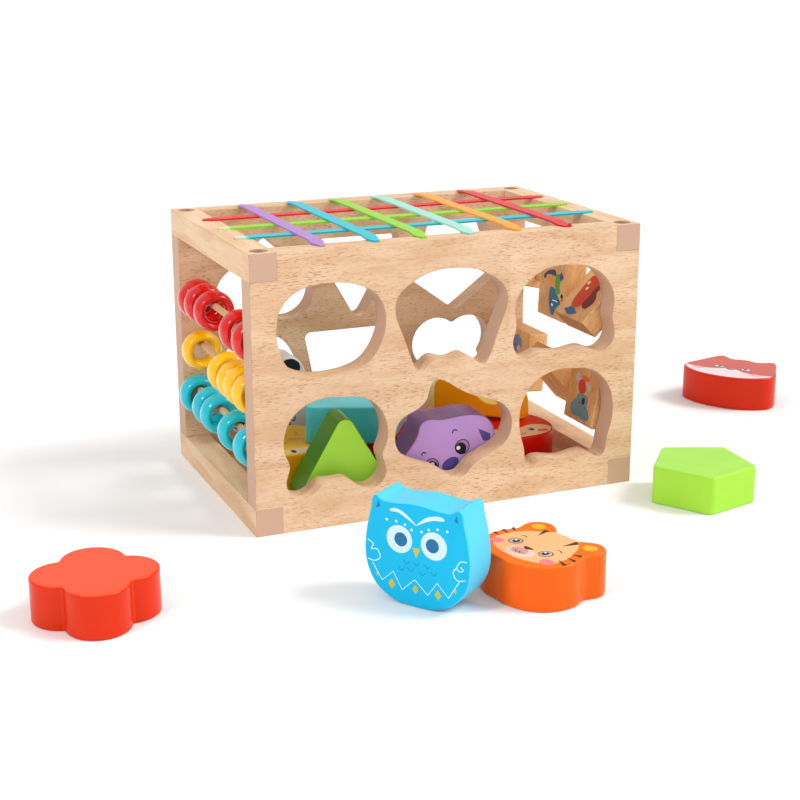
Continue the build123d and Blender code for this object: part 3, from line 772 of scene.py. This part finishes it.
# Upper front tile: a fish
FISH_RED = (218, 72, 36)
FISH_BROWN = (126, 44, 34)
FISH_BLUE = (54, 114, 154)
FISH_CREAM = (246, 232, 204)
draw("upper_front", "body", FISH_RED, [through([
    (-12, 14), (-5, 15), (4, 11), (6, 6), (5, -8), (2, -14), (-4, -15), (-8, -14), (-11, -8), (-12, 0)])])
draw("upper_front", "fin", FISH_BROWN, [through([
    (4, 8), (9, 7), (10, 2), (14, -2), (15.5, -7), (12, -13), (7, -13), (4, -10), (4, 0)])], layer=2)
draw("upper_front", "tail", FISH_BLUE, [through([
    (-7, -15.4), (-1, -15.4), (1, -17), (6, -19), (0, -22), (-5, -22), (-12, -19), (-8, -17)])])
draw("upper_front", "eyes", FISH_CREAM, spots([(-9.5, 8), (-6, 3)], 1.7, 1.7, steps=20), layer=2)

# Lower front tile: a bear with a bow and a hat
BEAR_BLUE = (112, 158, 174)
BEAR_RED = (220, 26, 20)
BEAR_ORANGE = (232, 112, 26)
BEAR_GREY = (198, 204, 204)
draw("lower_front", "body", BEAR_BLUE, [through([
    (-5, -3), (0, -1.8), (8, -2), (11, -6), (10, -10), (14, -14), (16, -18), (12, -21), (6, -21), (0, -20.5),
    (-6, -21), (-12, -19), (-14, -15), (-12, -11), (-8, -8)])])
draw("lower_front", "nose", BLACK, [
    ellipse((4, -7), 2.3, 2.8),
    ellipse((-1, -9.5), 0.7, 0.7, steps=16),
    ellipse((7.5, -11.5), 0.6, 0.6, steps=16)], layer=2)
draw("lower_front", "bow", BEAR_RED, [through([(-7, 5), (-3, 9), (2, 8), (5, 2), (2, -1.5), (-4, -1.5)])])
draw("lower_front", "hat", BEAR_ORANGE, [through([
    (-4, 11.5), (-1, 12.5), (6, 12.5), (9, 10.5), (6, 9), (2, 8.2), (-2, 9.2)])], layer=2)
draw("lower_front", "ears", BEAR_GREY, [ellipse((-9, 9.5), 3, 3.5), ellipse((9.5, 5), 2.8, 2.5)], layer=3)

# Lower rear tile: a mouse
MOUSE_GREY = (112, 122, 152)
MOUSE_PINK = (214, 176, 166)
draw("lower_rear", "face", MOUSE_GREY, [ellipse((3, 13), 8, 7.5)])
draw("lower_rear", "muzzle", MOUSE_PINK, [ellipse((6, 9), 3.6, 2.6)], layer=2)
draw("lower_rear", "eye", BLACK, [ellipse((-1.2, 10.8), 1, 1, steps=20)], layer=2)


# ---------------------------------------------------------------- stage, light and camera
def matt(name, colour, roughness=0.9):
    """A plain matt stage surface."""
    material, _, surface = shader(name)
    surface.inputs["Base Color"].default_value = colour
    surface.inputs["Roughness"].default_value = roughness
    return material


FLOOR_SIZE = 60.0
FLOOR_PLACE = (0, 20.0, 0)
FLOOR_COLOUR = (0.95, 0.95, 0.95, 1.0)
bpy.ops.mesh.primitive_plane_add(size=FLOOR_SIZE, location=FLOOR_PLACE)
floor = bpy.context.object
floor.name = "studio_floor"
floor.data.materials.append(matt("studio_floor_paint", FLOOR_COLOUR))

SKY_STRENGTH = 0.74
world = bpy.data.worlds.new("studio_world")
bpy.context.scene.world = world
world.use_nodes = True
background = world.node_tree.nodes["Background"]
background.inputs["Color"].default_value = FULL_TONE
background.inputs["Strength"].default_value = SKY_STRENGTH

# One soft key light from the front right.
KEY_FROM = Vector((0.9, -0.4, 0.95))
KEY_STRENGTH = 2.0
KEY_SPREAD = math.radians(25)
key_data = bpy.data.lights.new("key", "SUN")
key_data.energy = KEY_STRENGTH
key_data.angle = KEY_SPREAD
key = bpy.data.objects.new("key", key_data)
bpy.context.scene.collection.objects.link(key)
key.rotation_mode = "QUATERNION"
key.rotation_quaternion = KEY_FROM.to_track_quat("Z", "Y")

# A small softbox on the left, aimed at the box's middle, for the highlights on the beads.
SOFTBOX_PLACE = (-1.3, -0.7, 1.2)
SOFTBOX_AIM = Vector((0, 0, 0.1))
SOFTBOX_SIZE = 0.26
SOFTBOX_POWER = 8.0
box_data = bpy.data.lights.new("softbox", "AREA")
box_data.size = SOFTBOX_SIZE
box_data.energy = SOFTBOX_POWER
softbox = bpy.data.objects.new("softbox", box_data)
bpy.context.scene.collection.objects.link(softbox)
softbox.location = SOFTBOX_PLACE
softbox.rotation_mode = "QUATERNION"
softbox.rotation_quaternion = (softbox.location - SOFTBOX_AIM).to_track_quat("Z", "Y")

CAMERA_PLACE = Vector((-0.4452, -1.0550, 0.3943))
CAMERA_AZIMUTH = math.radians(-22.91)
CAMERA_CLIMB = math.radians(16.49)
CAMERA_ROLL = math.radians(-0.08)
CAMERA_LENS = 68.826
SENSOR_WIDTH = 36.0
camera_data = bpy.data.cameras.new("camera")
camera_data.lens = CAMERA_LENS
camera_data.sensor_width = SENSOR_WIDTH
camera_data.clip_start, camera_data.clip_end = 0.05, 100.0
camera = bpy.data.objects.new("camera", camera_data)
bpy.context.scene.collection.objects.link(camera)
back = Vector((math.sin(CAMERA_AZIMUTH) * math.cos(CAMERA_CLIMB),
               -math.cos(CAMERA_AZIMUTH) * math.cos(CAMERA_CLIMB), math.sin(CAMERA_CLIMB)))
camera.location = CAMERA_PLACE
camera.rotation_mode = "QUATERNION"
camera.rotation_quaternion = (-back).to_track_quat("-Z", "Y") @ Quaternion((0, 0, 1), CAMERA_ROLL)
bpy.context.scene.camera = camera
bpy.context.scene.view_settings.view_transform = "Standard"
